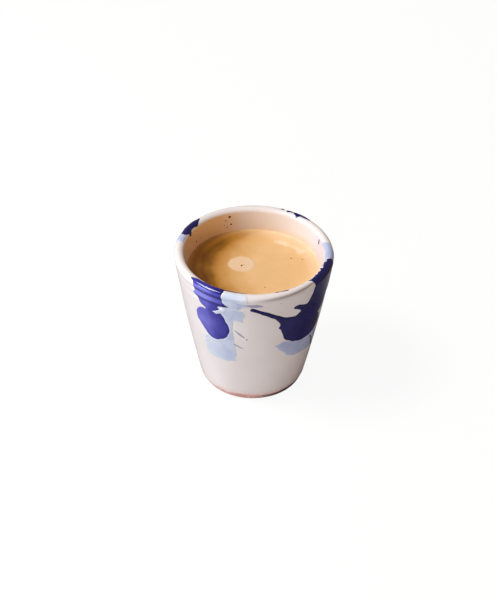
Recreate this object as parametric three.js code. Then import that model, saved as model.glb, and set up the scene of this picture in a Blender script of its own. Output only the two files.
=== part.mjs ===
// A handleless shot cup of splash-glazed earthenware, filled with espresso.
// Millimetres. The pieces are turned about Y, as on a wheel, and the whole group is then stood up
// so that +Z points up, with the origin under the middle of the foot.
// A bearing is counted in degrees round the cup from its front, which faces -Y, towards +X.
// A drop is counted along the glazed surface from the top of the lip: down the outside is positive,
// down the inside is negative.

import * as THREE from 'three';

// The glazed cup
const RIM_DIAMETER = 65;
const CUP_HEIGHT = 63;
const FOOT_DIAMETER = 43; // where the line of the wall meets the table
const WALL_BOW = 0.65; // swell of the wall past a straight line, half way up
const WALL_THICKNESS = 3.9; // clay and both coats, and the width of the full-round lip
const FLOOR_THICKNESS = 6; // from the table to the glazed floor inside
const INNER_CORNER_RADIUS = 7; // between the inner wall and the floor

// Rings that the thrower's fingers pressed into the wall below the lip
const RING_COUNT = 2;
const FIRST_RING_DEPTH_BELOW_RIM = 3.6;
const RING_PITCH = 3.8;
const RING_WIDTH = 3.2;
const RING_HOLLOW = 0.35;

// Bare foot
const FOOT_CORNER_RADIUS = 2;
const FOOT_RING_WIDTH = 6;
const FOOT_HOLLOW_HEIGHT = 1.2; // of the hollow under the floor
const FOOT_HOLLOW_BEVEL = 1.5;
const GLAZE_LINE_HEIGHT = 3.2; // the clay is bare below this

// Glazes
const GLAZE_THICKNESS = 0.4;
const GLAZE_SEAM = 0.03; // between the clay and its coat
const POUR_THICKNESS = 0.3;
const POUR_EDGE_THICKNESS = 0.14;
const POUR_SEAM = 0.05; // between the coat and a pour on it
const POUR_SPACING = 0.5; // between a cobalt pour and a pale one
const POUR_BLEND = 2.2; // how far two runs of glaze draw together where they meet

// Espresso
const COFFEE_DEPTH_BELOW_RIM = 10;
const CREMA_THICKNESS = 2.5;
const MENISCUS_HEIGHT = 0.5;
const MENISCUS_WIDTH = 1.4;
const LIQUID_SEAM = 0.1; // between the liquid and the glaze, and between coffee and crema

// Facets
const TURNED_FACETS = 42;
const WALL_STEPS = 4;
const RING_STEPS = 4; // across one ring
const LIP_STEPS = 8;
const CORNER_STEPS = 4;
const POUR_COLUMNS_PER_FACET = 2;
const POUR_ROW = 2.4;
const LEAST_SHARE_OF_CELL = 0.08; // keeps slivers out of a pour's edge
const EDGE_HALVINGS = 12; // to find where a pour's edge crosses a cell

// Each run of glaze goes through round drops of it: bearing, drop and radius, the last two in splash units
const SPLASH_UNIT = 1; // millimetres
const COBALT_FRONT = [
  [[-48.5, 0.7, 1], [-45, 0.4, 1.8], [-26, 0.2, 2]],
  [[-44, 2.6, 2], [-42.4, 6.6, 2.4], [-38.6, 10.6, 1.8]],
  [[-37, 3, 3.6], [-34.5, 7, 4]],
  [[-28, 2.2, 2.8], [-27.4, 6, 2.8], [-22.4, 7.4, 1.3]],
  [[-35.2, 10, 2.2], [-35, 14, 2]],
  [[-37.2, 19, 6.1], [-32.6, 24.9, 4.2], [-29.6, 23.4, 4.8], [-28.2, 19.6, 4.9], [-36, 18.6, 5.4]],
  [[-28.4, 19.6, 4.6], [-25.9, 15.5, 2.4]],
];
const COBALT_RIGHT = [
  [[49, 0.2, 1.3], [62, 0.6, 1.7], [75, 0.6, 1.7]],
  [[52.6, 1.8, 2.2], [52.8, 3.8, 2.3], [51.2, 8.6, 2.6], [47, 13, 2.7]],
  [[60, 3.4, 3.6], [60, 10, 5]],
  [[71, 3.4, 3.6], [70, 10, 5]],
  [[76.4, 2.4, 2], [74.5, 9, 2.6]],
  [[34.4, 10.4, 1.2], [42, 12.6, 1.8]],
  [[41, 14.6, 2], [36, 17, 2.4]],
  [[28.3, 19, 3.8], [34.4, 24.4, 4.9], [40, 25.5, 5.7], [47, 26.4, 6.1], [56, 27, 5.8]],
  [[36, 18.5, 3], [50, 18, 5.8], [60, 16, 6]],
  [[0.6, 7.8, 1.3], [9, 10.1, 1.3], [17.6, 13, 1.4], [23, 15.4, 1.9], [30, 18, 3]],
];
const COBALT_LEFT = [
  [[-129.5, 0.4, 1.3], [-126, 0, 1.9], [-112.5, -0.2, 1.9]],
  [[-122, 3, 4], [-122, 14, 5], [-120.5, 20, 4.6]],
];
const COBALT_BACK = [
  [[134.5, 0.6, 1.3], [138, 0.4, 1.6], [146, 0.4, 1.7]],
  [[140.5, 3, 2.6], [140, 9, 3], [139, 15, 2.6]],
];
const PALE_FRONT = [
  [[-18.4, 3, 2.4], [-17.4, 6, 2.8]],
  [[-10.6, 3, 2.9], [-10.2, 6, 2.9]],
  [[-15.4, 7.4, 2.8], [-15.8, 11.2, 3.2], [-10.6, 11.4, 2.9]],
  [[-13, 12.6, 2.6], [-8.4, 14.4, 1]],
  [[-17, 13.6, 2.8], [-15.8, 20, 2.3], [-16.4, 28, 2.4], [-20.4, 33, 3.6]],
  [[-42.8, 33, 1.2], [-38, 34, 3]],
  [[-38, 31, 2.8], [-31, 31.6, 3.4], [-22, 30.6, 3.4]],
  [[-34, 36, 4.6], [-24, 36.4, 4.3]],
  [[-22, 36, 4], [-15.6, 38.2, 1.3]],
];
const PALE_RIGHT = [
  [[20.6, 30.6, 1.1], [26, 31.4, 2.4], [37, 34.3, 4.2], [45, 35.6, 4.8], [62, 37, 5]],
];
const PALE_RIM = [
  [[84, -0.6, 2.4], [96, -1, 2.4]],
  [[87, 1.8, 2.8], [87, 9, 2.4]],
];
const PALE_LEFT = [
  [[-104, 0.4, 2.2], [-105, 10, 2.6], [-109, 24, 4], [-119, 29, 4.4]],
];
const PALE_BACK = [
  [[150.5, 10, 2.4], [149, 18, 3.4], [142, 24, 4]],
];

const FULL_TURN = 360; // degrees
const RIM_RADIUS = RIM_DIAMETER / 2;
const FOOT_RADIUS = FOOT_DIAMETER / 2;
const LIP_RADIUS = WALL_THICKNESS / 2;
const LIP_HEIGHT = CUP_HEIGHT - LIP_RADIUS;
const FACET_ANGLE = FULL_TURN / TURNED_FACETS;
const POUR_COLUMN = FACET_ANGLE / POUR_COLUMNS_PER_FACET;
const CREMA_TOP = CUP_HEIGHT - COFFEE_DEPTH_BELOW_RIM;
const COFFEE_TOP = CREMA_TOP - CREMA_THICKNESS;

// The wall is a straight cone from foot to lip with a slight even bow.
function wallRadius(height) {
  const share = height / LIP_HEIGHT;
  return FOOT_RADIUS + (RIM_RADIUS - FOOT_RADIUS) * share + WALL_BOW * 4 * share * (1 - share);
}

function wallTilt(height) {
  const share = height / LIP_HEIGHT;
  return Math.atan((RIM_RADIUS - FOOT_RADIUS + WALL_BOW * 4 * (1 - 2 * share)) / LIP_HEIGHT);
}

function innerRadius(height) {
  return wallRadius(height) - WALL_THICKNESS / Math.cos(wallTilt(height));
}

function bareClayRadius(height) {
  return wallRadius(height) - (GLAZE_THICKNESS + GLAZE_SEAM) / Math.cos(wallTilt(height));
}

function ringHeight(ring) {
  return CUP_HEIGHT - FIRST_RING_DEPTH_BELOW_RIM - ring * RING_PITCH;
}

// Each ring is a soft round hollow.
function ringedRadius(height) {
  let radius = wallRadius(height);
  for (let ring = 0; ring < RING_COUNT; ring++) {
    const away = Math.abs(height - ringHeight(ring)) / (RING_WIDTH / 2);
    if (away < 1) radius -= RING_HOLLOW * 0.5 * (1 + Math.cos(Math.PI * away));
  }
  return radius;
}

function arc(centre, radius, from, to, steps) {
  const points = [];
  for (let step = 0; step <= steps; step++) {
    const angle = from + (to - from) * (step / steps);
    points.push(new THREE.Vector2(centre.x + radius * Math.cos(angle), centre.y + radius * Math.sin(angle)));
  }
  return points;
}

// The round corner between a level floor and a wall, from the floor up.
function cornerArc(radiusAt, floor, radius) {
  const tilt = wallTilt(floor + radius);
  const touch = floor + radius * (1 - Math.sin(tilt));
  const centre = new THREE.Vector2(radiusAt(touch) - radius * Math.cos(tilt), floor + radius);
  return arc(centre, radius, -Math.PI / 2, -tilt, CORNER_STEPS);
}

// Heights at which the outside is drawn: the plain wall, then each ring, then the foot of the lip.
function outerHeights() {
  const lowestRing = ringHeight(RING_COUNT - 1) - RING_WIDTH / 2;
  const heights = [];
  for (let step = 0; step < WALL_STEPS; step++) {
    heights.push(GLAZE_LINE_HEIGHT + (lowestRing - GLAZE_LINE_HEIGHT) * (step / WALL_STEPS));
  }
  for (let ring = RING_COUNT - 1; ring >= 0; ring--) {
    for (let step = 0; step <= RING_STEPS; step++) {
      heights.push(ringHeight(ring) + RING_WIDTH * (step / RING_STEPS - 0.5));
    }
  }
  const lipFoot = LIP_HEIGHT - LIP_RADIUS * Math.sin(wallTilt(LIP_HEIGHT));
  return heights.filter((height) => height < lipFoot).sort((a, b) => a - b);
}

// The glazed surface, from the glaze line up the outside, over the lip and down to the inner floor.
function glazedLine() {
  const lipTilt = wallTilt(LIP_HEIGHT);
  const outside = outerHeights().map((height) => new THREE.Vector2(ringedRadius(height), height));
  const lipCentre = new THREE.Vector2(RIM_RADIUS - LIP_RADIUS, LIP_HEIGHT);
  const lip = arc(lipCentre, LIP_RADIUS, -lipTilt, Math.PI - lipTilt, LIP_STEPS);
  const corner = cornerArc(innerRadius, FLOOR_THICKNESS, INNER_CORNER_RADIUS).reverse();
  const inside = [];
  for (let step = 1; step < WALL_STEPS; step++) {
    const height = THREE.MathUtils.lerp(lip.at(-1).y, corner[0].y, step / WALL_STEPS);
    inside.push(new THREE.Vector2(innerRadius(height), height));
  }
  return [...outside, ...lip, ...inside, ...corner, new THREE.Vector2(0, FLOOR_THICKNESS)];
}

// Directions out of the clay at each point of a line, lengthened at the turns so that a lifted line
// stays at an even distance.
function outwardDirections(line) {
  const across = [];
  for (let i = 0; i + 1 < line.length; i++) {
    const run = line[i + 1].clone().sub(line[i]).normalize();
    across.push(new THREE.Vector2(run.y, -run.x));
  }
  return line.map((point, i) => {
    const before = across[Math.max(i - 1, 0)];
    const after = across[Math.min(i, across.length - 1)];
    const middle = before.clone().add(after).normalize();
    return middle.divideScalar(middle.dot(before));
  });
}

const LINE = glazedLine();
const OUTWARD = outwardDirections(LINE);

function liftedLine(lift) {
  return LINE.map((point, i) => point.clone().addScaledVector(OUTWARD[i], lift));
}

// Drop of each point of the line, from the top of the lip.
function dropsOfLine() {
  const lengths = [0];
  for (let i = 1; i < LINE.length; i++) lengths.push(lengths[i - 1] + LINE[i].distanceTo(LINE[i - 1]));
  const heights = LINE.map((point) => point.y);
  const top = heights.indexOf(Math.max(...heights));
  return lengths.map((length) => lengths[top] - length);
}

const DROPS = dropsOfLine();

function turned(profile) {
  return new THREE.LatheGeometry(profile, TURNED_FACETS);
}

function clayBody() {
  const corner = cornerArc(bareClayRadius, 0, FOOT_CORNER_RADIUS);
  const hollowRadius = corner[0].x - FOOT_RING_WIDTH;
  const underside = [
    new THREE.Vector2(0, FOOT_HOLLOW_HEIGHT),
    new THREE.Vector2(hollowRadius - FOOT_HOLLOW_BEVEL, FOOT_HOLLOW_HEIGHT),
    new THREE.Vector2(hollowRadius, 0),
  ];
  return turned([...underside, ...corner, ...liftedLine(-GLAZE_THICKNESS - GLAZE_SEAM)]);
}

function whiteGlaze() {
  return turned([...liftedLine(-GLAZE_THICKNESS).reverse(), ...LINE]);
}

function liquidRadius(height) {
  return innerRadius(height) - LIQUID_SEAM / Math.cos(wallTilt(height));
}

function coffee() {
  const wetted = liftedLine(LIQUID_SEAM).filter((point, i) => DROPS[i] < 0 && point.y < COFFEE_TOP);
  const edge = new THREE.Vector2(liquidRadius(COFFEE_TOP), COFFEE_TOP);
  return turned([...wetted.reverse(), edge, new THREE.Vector2(0, COFFEE_TOP)]);
}

// The foam climbs the wall a little at its edge.
function crema() {
  const underside = COFFEE_TOP + LIQUID_SEAM;
  const edge = CREMA_TOP + MENISCUS_HEIGHT;
  return turned([
    new THREE.Vector2(0, underside),
    new THREE.Vector2(liquidRadius(underside), underside),
    new THREE.Vector2(liquidRadius(edge), edge),
    new THREE.Vector2(liquidRadius(CREMA_TOP) - MENISCUS_WIDTH / 3, CREMA_TOP + MENISCUS_HEIGHT / 3),
    new THREE.Vector2(liquidRadius(CREMA_TOP) - MENISCUS_WIDTH, CREMA_TOP),
    new THREE.Vector2(0, CREMA_TOP),
  ]);
}

// A facet is flat, so between its edges it lies a little nearer to the axis than the true round.
function facetShare(bearing) {
  const fromMiddle = THREE.MathUtils.euclideanModulo(bearing, FACET_ANGLE) - FACET_ANGLE / 2;
  return Math.cos(THREE.MathUtils.degToRad(FACET_ANGLE / 2)) / Math.cos(THREE.MathUtils.degToRad(fromMiddle));
}

// A place on the glazed surface, lifted off it.
function onGlaze(bearing, drop, lift) {
  const next = DROPS.findIndex((value) => value < drop);
  const share = (DROPS[next - 1] - drop) / (DROPS[next - 1] - DROPS[next]);
  const place = LINE[next - 1].clone().lerp(LINE[next], share);
  const outward = OUTWARD[next - 1].clone().lerp(OUTWARD[next], share);
  place.addScaledVector(outward, lift);
  const radius = place.x * facetShare(bearing);
  const angle = THREE.MathUtils.degToRad(bearing);
  return new THREE.Vector3(radius * Math.sin(angle), place.y, radius * Math.cos(angle));
}

// The way round from one bearing to another, by the shorter side.
function turn(from, to) {
  return THREE.MathUtils.euclideanModulo(to - from + FULL_TURN / 2, FULL_TURN) - FULL_TURN / 2;
}

// How far inside one stretch of a run, from drop to drop, a place lies, in millimetres along the surface.
function insideStretch(from, to, bearing, drop, girth) {
  const across = THREE.MathUtils.degToRad(turn(from[0], to[0])) * girth;
  const down = (to[1] - from[1]) * SPLASH_UNIT;
  const x = THREE.MathUtils.degToRad(turn(from[0], bearing)) * girth;
  const y = drop - from[1] * SPLASH_UNIT;
  const along = THREE.MathUtils.clamp((x * across + y * down) / (across * across + down * down), 0, 1);
  const radius = THREE.MathUtils.lerp(from[2], to[2], along) * SPLASH_UNIT;
  return radius - Math.hypot(x - along * across, y - along * down);
}

function insideRun(run, bearing, drop, girth) {
  return Math.max(...run.slice(1).map((to, i) => insideStretch(run[i], to, bearing, drop, girth)));
}

// Runs that meet draw together, as wet glaze does.
function insidePour(runs, bearing, drop) {
  const girth = onGlaze(0, drop, 0).z;
  return runs
    .map((run) => insideRun(run, bearing, drop, girth))
    .reduce((sum, value) => {
      const near = Math.max(POUR_BLEND - Math.abs(sum - value), 0) / POUR_BLEND;
      return Math.max(sum, value) + (near * near * POUR_BLEND) / 4;
    });
}

// Drops at which a pour is drawn: those of the glazed line, with long steps divided.
function pourRows() {
  const rows = [];
  for (let i = 1; i + 1 < DROPS.length; i++) {
    const gap = DROPS[i] - DROPS[i + 1];
    const steps = Math.ceil(gap / POUR_ROW);
    for (let step = 0; step < steps; step++) rows.push(DROPS[i] - (gap * step) / steps);
  }
  return rows;
}

function pourColumns(runs) {
  const widest = Math.max(...runs.flat().map((drop) => drop[2])) * SPLASH_UNIT;
  const reach = THREE.MathUtils.radToDeg(widest / FOOT_RADIUS);
  const bearings = runs.flat().map((drop) => drop[0]);
  const first = Math.floor((Math.min(...bearings) - reach) / POUR_COLUMN);
  const last = Math.ceil((Math.max(...bearings) + reach) / POUR_COLUMN);
  return Array.from({ length: last - first + 1 }, (_, i) => (first + i) * POUR_COLUMN);
}

// A thin layer of glaze over the part of the surface where its runs lie, kept clear of other pours.
function pour(runs, others) {
  const rows = pourRows();
  const columns = pourColumns(runs);
  function isCovered(bearing, drop) {
    if (insidePour(runs, bearing, drop) <= 0) return false;
    return others.every((other) => insidePour(other, bearing, drop) < -POUR_SPACING);
  }
  const covered = columns.map((bearing) => rows.map((drop) => isCovered(bearing, drop)));
  const positions = [];
  const faces = [];
  const made = new Map();

  // Each vertex is a pair: its seat on the coat, then its top.
  function vertex(key, bearing, drop, thickness) {
    if (!made.has(key)) {
      made.set(key, positions.length / 3);
      positions.push(...onGlaze(bearing, drop, POUR_SEAM).toArray());
      positions.push(...onGlaze(bearing, drop, POUR_SEAM + thickness).toArray());
    }
    return made.get(key);
  }
  const corner = ([i, j]) => vertex(`${i},${j}`, columns[i], rows[j], POUR_THICKNESS);
  function crossing(wet, dry) {
    const bearing = (share) => THREE.MathUtils.lerp(columns[wet[0]], columns[dry[0]], share);
    const drop = (share) => THREE.MathUtils.lerp(rows[wet[1]], rows[dry[1]], share);
    let share = 0;
    for (let step = 1; step <= EDGE_HALVINGS; step++) {
      const further = share + 0.5 ** step;
      if (isCovered(bearing(further), drop(further))) share = further;
    }
    share = THREE.MathUtils.clamp(share, LEAST_SHARE_OF_CELL, 1 - LEAST_SHARE_OF_CELL);
    return vertex(`${wet}-${dry}`, bearing(share), drop(share), POUR_EDGE_THICKNESS);
  }

  for (let i = 0; i + 1 < columns.length; i++) {
    for (let j = 0; j + 1 < rows.length; j++) {
      const cell = [[i, j], [i + 1, j], [i + 1, j + 1], [i, j + 1]];
      const outline = [];
      const leaves = [];
      cell.forEach((here, k) => {
        const next = cell[(k + 1) % cell.length];
        const wetHere = covered[here[0]][here[1]];
        const wetNext = covered[next[0]][next[1]];
        if (wetHere) outline.push(corner(here));
        if (wetHere && !wetNext) {
          leaves.push(outline.length);
          outline.push(crossing(here, next));
        }
        if (!wetHere && wetNext) outline.push(crossing(next, here));
      });
      for (let k = 1; k + 1 < outline.length; k++) {
        faces.push(outline[0] + 1, outline[k] + 1, outline[k + 1] + 1);
        faces.push(outline[0], outline[k + 1], outline[k]);
      }
      for (const leave of leaves) {
        const a = outline[leave];
        const b = outline[(leave + 1) % outline.length];
        faces.push(b + 1, a + 1, a, b + 1, a, b);
      }
    }
  }
  const geometry = new THREE.BufferGeometry();
  geometry.setAttribute('position', new THREE.Float32BufferAttribute(positions, 3));
  geometry.setIndex(faces);
  geometry.computeVertexNormals();
  return geometry;
}

const EARTHENWARE = { color: '#b9806a', roughness: 0.85, metalness: 0 };
const WHITE_GLAZE = { color: '#ece6df', roughness: 0.18, metalness: 0 };
const COBALT_GLAZE = { color: '#2c2878', roughness: 0.14, metalness: 0 };
const PALE_GLAZE = { color: '#b3c1e0', roughness: 0.18, metalness: 0 };
const COFFEE = { color: '#3a1c0a', roughness: 0.1, metalness: 0 };
const CREMA = { color: '#d9a765', roughness: 0.35, metalness: 0 };
const COBALTS = [COBALT_FRONT, COBALT_RIGHT, COBALT_LEFT, COBALT_BACK];

const cup = new THREE.Group();
cup.rotation.x = Math.PI / 2;

function addPiece(name, geometry, finish) {
  const mesh = new THREE.Mesh(geometry, new THREE.MeshStandardMaterial(finish));
  mesh.name = name;
  cup.add(mesh);
}

addPiece('clay_body', clayBody(), EARTHENWARE);
addPiece('white_glaze', whiteGlaze(), WHITE_GLAZE);
addPiece('cobalt_pour_front', pour(COBALT_FRONT, []), COBALT_GLAZE);
addPiece('cobalt_pour_right', pour(COBALT_RIGHT, []), COBALT_GLAZE);
addPiece('cobalt_pour_left', pour(COBALT_LEFT, []), COBALT_GLAZE);
addPiece('cobalt_pour_back', pour(COBALT_BACK, []), COBALT_GLAZE);
addPiece('pale_pour_front', pour(PALE_FRONT, COBALTS), PALE_GLAZE);
addPiece('pale_pour_right', pour(PALE_RIGHT, COBALTS), PALE_GLAZE);
addPiece('pale_pour_rim', pour(PALE_RIM, COBALTS), PALE_GLAZE);
addPiece('pale_pour_left', pour(PALE_LEFT, COBALTS), PALE_GLAZE);
addPiece('pale_pour_back', pour(PALE_BACK, COBALTS), PALE_GLAZE);
addPiece('coffee', coffee(), COFFEE);
addPiece('crema', crema(), CREMA);

const shotCup = new THREE.Group();
shotCup.add(cup);

export default shotCup;
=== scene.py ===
"""A splash-glazed earthenware shot cup filled with espresso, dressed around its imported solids.

Lengths are in millimetres and are turned to metres where a mesh is made. A bearing is counted in degrees
round the cup from its front, which faces -Y, towards +X. A drop is counted along the glazed surface from
the top of the lip: down the outside is positive, down the inside is negative.
"""

import math

import bpy
import numpy as np
from mathutils import Matrix, Vector, noise


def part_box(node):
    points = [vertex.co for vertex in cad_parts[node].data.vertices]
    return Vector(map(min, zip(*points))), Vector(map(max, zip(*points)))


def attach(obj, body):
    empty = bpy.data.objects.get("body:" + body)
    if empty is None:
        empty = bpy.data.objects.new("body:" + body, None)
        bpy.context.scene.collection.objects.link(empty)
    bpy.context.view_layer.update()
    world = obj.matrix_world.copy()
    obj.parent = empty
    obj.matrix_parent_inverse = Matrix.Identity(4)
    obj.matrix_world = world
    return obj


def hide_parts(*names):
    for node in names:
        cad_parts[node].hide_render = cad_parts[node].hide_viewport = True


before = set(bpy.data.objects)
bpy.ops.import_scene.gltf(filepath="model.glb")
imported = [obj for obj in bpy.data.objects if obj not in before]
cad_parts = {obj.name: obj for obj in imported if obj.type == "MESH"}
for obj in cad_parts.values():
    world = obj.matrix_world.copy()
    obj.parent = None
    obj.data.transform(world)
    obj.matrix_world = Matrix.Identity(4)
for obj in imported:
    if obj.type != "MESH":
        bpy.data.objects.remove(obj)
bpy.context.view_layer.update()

MM = 0.001

# The glazed cup: its height and rim come from the frame
COAT_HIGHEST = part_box("white_glaze")[1] / MM
CUP_HEIGHT = COAT_HIGHEST.z
RIM_RADIUS = COAT_HIGHEST.y
FOOT_RADIUS = 21.5
WALL_BOW = 0.65
WALL_THICKNESS = 3.9
LIP_RADIUS = WALL_THICKNESS / 2
LIP_HEIGHT = CUP_HEIGHT - LIP_RADIUS
FLOOR_THICKNESS = 6
INNER_CORNER_RADIUS = 7

# Rings that the thrower's fingers pressed into the wall below the lip, smoothed away from this bearing
RING_DEPTHS_BELOW_RIM = (3.6, 7.4)
RING_WIDTH = 3.2
RING_HOLLOW = 0.35
RINGS_SMOOTHED = 0.92
RINGS_BEARING = -35
RINGS_LENGTH = 16

# Traces of throwing by hand. The oval ends at the lip, and the floor's middle stays true
OUT_OF_ROUND = 0.1
OUT_OF_ROUND_BEARING = 40
OUT_OF_ROUND_LIP = 3
WALL_UNEVENNESS = 0.06
WALL_UNEVENNESS_SIZE = 14
UNEVEN_RADII = (12, 18)
THROWING_LINE_PITCH = 2.6
THROWING_LINE_HEIGHT = 0.007
THROWING_LINE_DROPS = (12, 18, 50, 58)
LIP_CREASE_DROP = 2.25
LIP_CREASE_RISE = 0.03
LIP_CREASE_WIDTH = 0.65
LIP_CREASE_DEPTH = 0.52
LIP_CREASE_BEARING = 30
LIP_CREASE_LENGTH = 22
# Painted shade darkens the crease by this share
LIP_CREASE_SHADE = 0.55

# Bare foot
FOOT_CORNER_RADIUS = 2
FOOT_CORNER_GAP = 0.2
FOOT_RING_WIDTH = 6
FOOT_HOLLOW_HEIGHT = 1.2
FOOT_HOLLOW_BEVEL = 1.5
TRIMMING_GROOVE_START = 1
TRIMMING_GROOVE_PITCH = 1.3
TRIMMING_GROOVE_DEPTH = 0.07
# Painted shade low on the foot at the right, the side away from the light: bearing, length, and the
# heights over which it fades
FOOT_SHADE_BEARING = 58
FOOT_SHADE_LENGTH = 46
FOOT_SHADE_HEIGHTS = (1.5, 6.5)

# White coat. Its edge above the foot rises in two places: bearing, length, height
GLAZE_THICKNESS = 0.4
GLAZE_EDGE_ROUND = 0.9
COAT_CLEARANCE = 0.01
COAT_EDGE_HEIGHT = 2
COAT_EDGE_RISES = ((-10, 24, 1.1), (56, 40, 0.9))
COAT_EDGE_RIPPLE = 0.55
COAT_EDGE_RIPPLE_SIZE = 7
COAT_EDGE_DRIP = 0.2
COAT_EDGE_DRIP_SIZE = 2.5
COAT_EDGE_DRIP_APART = 20
COAT_EDGE_SETTLED = 1.4
COAT_EDGE_TOP = 8
LIP_THIN_DEPTH = 0.22
LIP_THIN_WIDTH = 1.6
BARE_FADE = 4
BARE_HEIGHT = 12
# A pink blush low at the right: partly thin glaze over the clay, partly painted warm shade
BLUSH_BEARING = 56
BLUSH_LENGTH = 30
BLUSH_HEIGHT = 36
BLUSH_DEPTH = 0.22
VEIL_BEARING = 102
VEIL_LENGTH = 16
VEIL_DEPTH = 0.55
VEIL_REACH = (1, 3)
VEIL_BELOW_CREMA = 4

# Coffee that wetted the coat inside: a film below the lip, partly coffee and partly painted bounce light
# from the crema at the left, and a tide line above the crema
FILM_BOUNCE_BEARING = -128
FILM_BOUNCE_LENGTH = 40
FILM_BOUNCE_START = 1.6
FILM_BOUNCE_FADE = 1
FILM_BOUNCE_TAIL_BEARING = -178
FILM_BOUNCE_TAIL_DEPTH = 0.3
TIDE_HEIGHT = 4
TIDE_DEPTH = 0.5

# Glaze pours. The edge wanders by these heights over these sizes
POUR_THICKNESS = 0.24
THIN_POUR_THICKNESS = 0.1
TRACE_ABOVE_PALE = 0.03
POUR_LIFT = 0.01
POUR_SUNK = 0.05
POUR_SPACING = 0.15
POUR_BLEND = 1.2
POUR_EDGE_ROUND = 0.8
POUR_EDGE_WANDER = ((0.12, 2.2), (0.048, 2.2 / 3))
POUR_EDGE_WANDER_REACH = 1.5
# Colour deepens towards the cup's right from this bearing, over this width
RIGHTWARD_FROM = -36
RIGHTWARD_WIDTH = 18

# Poured glaze breaks thin over each ridge and pools in each groove, and painted shade darkens the rings'
# undersides: drop, and how thick it lies there, with the painted shade
POOLED_AND_SHADED_DROPS = (-2, 0.6, 1.6, 2.4, 3, 3.8, 4.6, 5.2, 6.6, 7.3, 8, 9.2, 13, 20, 30)
POOLED_AND_SHADED = (0.6, 0.6, 0.45, 0.02, 0.3, 0.66, 0.2, 0, 0, 0.5, 0.5, 0.25, 0.27, 0.15, 0.3)

# Espresso: its levels come from the frame, and the crema swells by these heights over these sizes
MENISCUS_HEIGHT = 0.5
MENISCUS_WIDTH = 1.4
CREMA_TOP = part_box("crema")[1].z / MM - MENISCUS_HEIGHT
CREMA_SWELL = ((0.03, 5), (0.012, 1.2))
COFFEE_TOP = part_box("coffee")[1].z / MM
COFFEE_BRIM = 1
COFFEE_CLEARANCE = 0.02
LIQUID_OVERLAP = 0.05

# Pale foam: a spot and a torn streak along the back. At the wall the crema's shore is painted bounce light
# on its lit side, and its rim is paler foam with painted light, kept off the shaded side
FOAM_SPOT = (-5, 3.1)
FOAM_SPOT_RADIUS = 5.4
FOAM_SPOT_OVAL = 1.05
FOAM_SPOT_HEIGHT = 0.12
FOAM_SPOT_FADE = 1.1
FOAM_SPOT_RAGGED = ((0.35, 2.2),)
FOAM_STREAK = ((9.5, 19), (15, 17), (20.5, 12))
FOAM_STREAK_WIDTH = 2.3
FOAM_STREAK_FADE = 2.2
FOAM_STREAK_DEPTH = 0.95
FOAM_STREAK_TORN = ((1.6, 2.6), (0.8, 1.1))
# The shore: painted bounce light from the wall, on the crema's lit side
SHORE_BOUNCE_WIDTH = 7
SHORE_BOUNCE_FALL = 1.5
# The rim: paler foam at the wall with painted light on it, kept off the shaded side and wider at the back
RIM_WIDTH = 2.4
RIM_FALL = 1.3
RIM_WIDER_BEARING = 180
RIM_WIDER_LENGTH = 45

# Bubbles that show in the crema: x, y, radius
BUBBLES = (
    (-5, 1.9, 0.45),
    (-4.1, 2.5, 0.18),
    (15.4, 7.5, 0.26),
    (20, 6.9, 0.22),
    (4.7, -12.4, 0.24),
    (16.8, -12.2, 0.24),
)
BUBBLE_RISE = 0.5

# The crema's painted shadow of the wall, darker towards this side: distance to the wall there, and how
# dark it is
SHADE_BEARING = -90
SHADE_REACH = (0, 4.5, 6.5, 10, 14, 18, 26)
SHADE_DEPTHS = (0.36, 0.8, 0.9, 0.82, 0.43, 0.2, 0)
SHADE_RAGGED = ((1.2, 7), (0.6, 2.5))
SHADE_PATCH = (-9, 15)
SHADE_PATCH_SIZE = 5.5
SHADE_PATCH_DEPTH = 0.06
SHADE_END_FROM = (-16, 12)
SHADE_END_REACH = (16, 6)
SHADE_END_FADE = 0.45
SHADE_EDGE_BEARING = -118
SHADE_EDGE_LENGTH = 58

# Fineness of the meshes: steps, counts, shares of a radius, and the angles of a bubble's rings
COLUMNS = 288
BEARINGS = np.arange(COLUMNS) * 360 / COLUMNS - 180
WALL_ROW = 0.9
RING_ROW = 0.3
LIP_STEPS = 30
CORNER_STEPS = 10
GROOVE_STEPS = 6
BEVEL_STEPS = 6
FOOT_RING_STEPS = 8
POLE_GAP = 0.5
COAT_EDGE_ROWS = (0, 0.06, 0.18, 0.36, 0.6, 0.9, 1.4, 2.1, 3)
COAT_ROW_GAP = 0.6
COAT_BACK_STEP = 3
POUR_GRID = 0.3
POUR_MARGIN = 1
POUR_CUT_SHARES = (0.06, 0.94)
CREMA_SHARES = np.concatenate([np.linspace(0.01, 0.94, 70), np.linspace(0.945, 1, 14)])
CREMA_UNDER_SHARES = np.linspace(0.02, 1, 12)
BUBBLE_SIDES = 14
BUBBLE_ROWS = (-30, 0, 30, 60)

# Each run of glaze goes through round drops: bearing, drop, radius
COBALT_FRONT = [
    [[-52, 0.8, 0.25], [-46, 0.5, 1.2], [-25, 0.4, 1.3]],
    [[-44.3, 2.2, 1.9], [-42.6, 6.6, 2.4], [-38.6, 10.8, 1.5]],
    [[-45, 6.9, 0.9], [-48.2, 6.8, 0.25]],
    [[-38, 2.6, 3.2], [-34.5, 7, 4]],
    [[-28, 1.8, 2.6], [-27.4, 5.8, 2.6]],
    [[-28, 7, 2.5], [-22.5, 7.5, 1.2], [-18.4, 7.9, 0.2]],
    [[-35.2, 10, 2], [-35, 14, 1.7]],
    [[-33.6, 11, 2.4], [-26.4, 11.4, 1.5]],
    [[-31, 13, 2], [-27.4, 14.6, 1.8]],
    [[-37.2, 19, 6.1], [-32.6, 24.9, 4.2], [-29.6, 23.4, 4.8], [-28.2, 19.6, 4.9], [-36, 18.6, 5.4]],
    [[-28.4, 19.6, 4.6], [-25.9, 15.5, 2.2]],
    [[-26, 22.2, 3.6], [-24.6, 21.6, 3.2]],
    [[-27, -0.9, 0.5], [-5, -1.3, 0.25]],
]
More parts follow.
